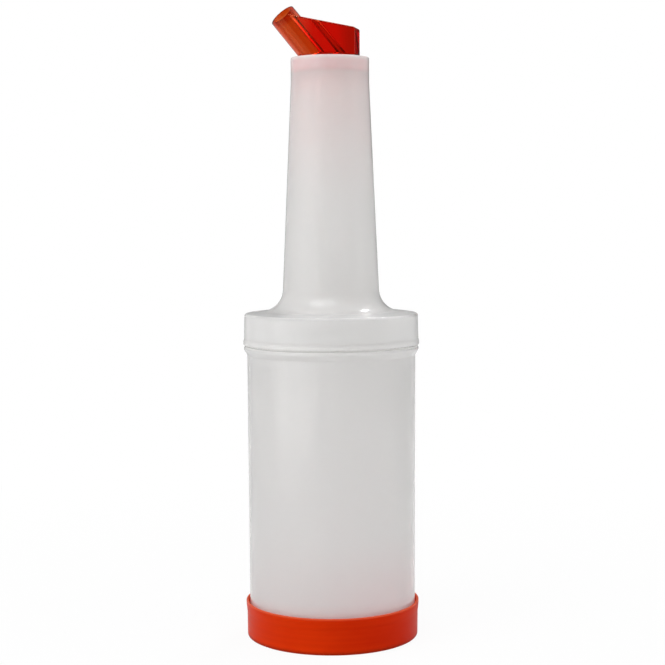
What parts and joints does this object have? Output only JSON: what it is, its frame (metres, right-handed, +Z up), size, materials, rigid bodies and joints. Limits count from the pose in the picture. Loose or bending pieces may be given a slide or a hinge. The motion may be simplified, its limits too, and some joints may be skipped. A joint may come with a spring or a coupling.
{
  "type": "speed pour bottle",
  "caption": "Tall bar pour bottle: translucent container and long screw-on neck, with an angled pouring spout and a push-on lid stored on the base.",
  "frame": {"origin": "middle of the underside of the base lid, on the bottle's axis", "axes": "+Z up along the bottle's axis; the spout pours towards -X, turned 13 degrees about +Z towards +Y"},
  "size_m": [0.0888, 0.0888, 0.3182],
  "materials": {
    "container_plastic": "natural translucent polyethylene, blow moulded, satin",
    "neck_plastic": "natural translucent polyethylene, injection moulded, satin",
    "spout_plastic": "clear orange-red moulded plastic, polished",
    "lid_plastic": "orange-red polyethylene, satin moulded surface"
  },
  "bodies": {
    "root": {"container": "container_plastic", "neck": "neck_plastic", "spout": "spout_plastic", "base_lid": "lid_plastic"}
  },
  "joints": []
}
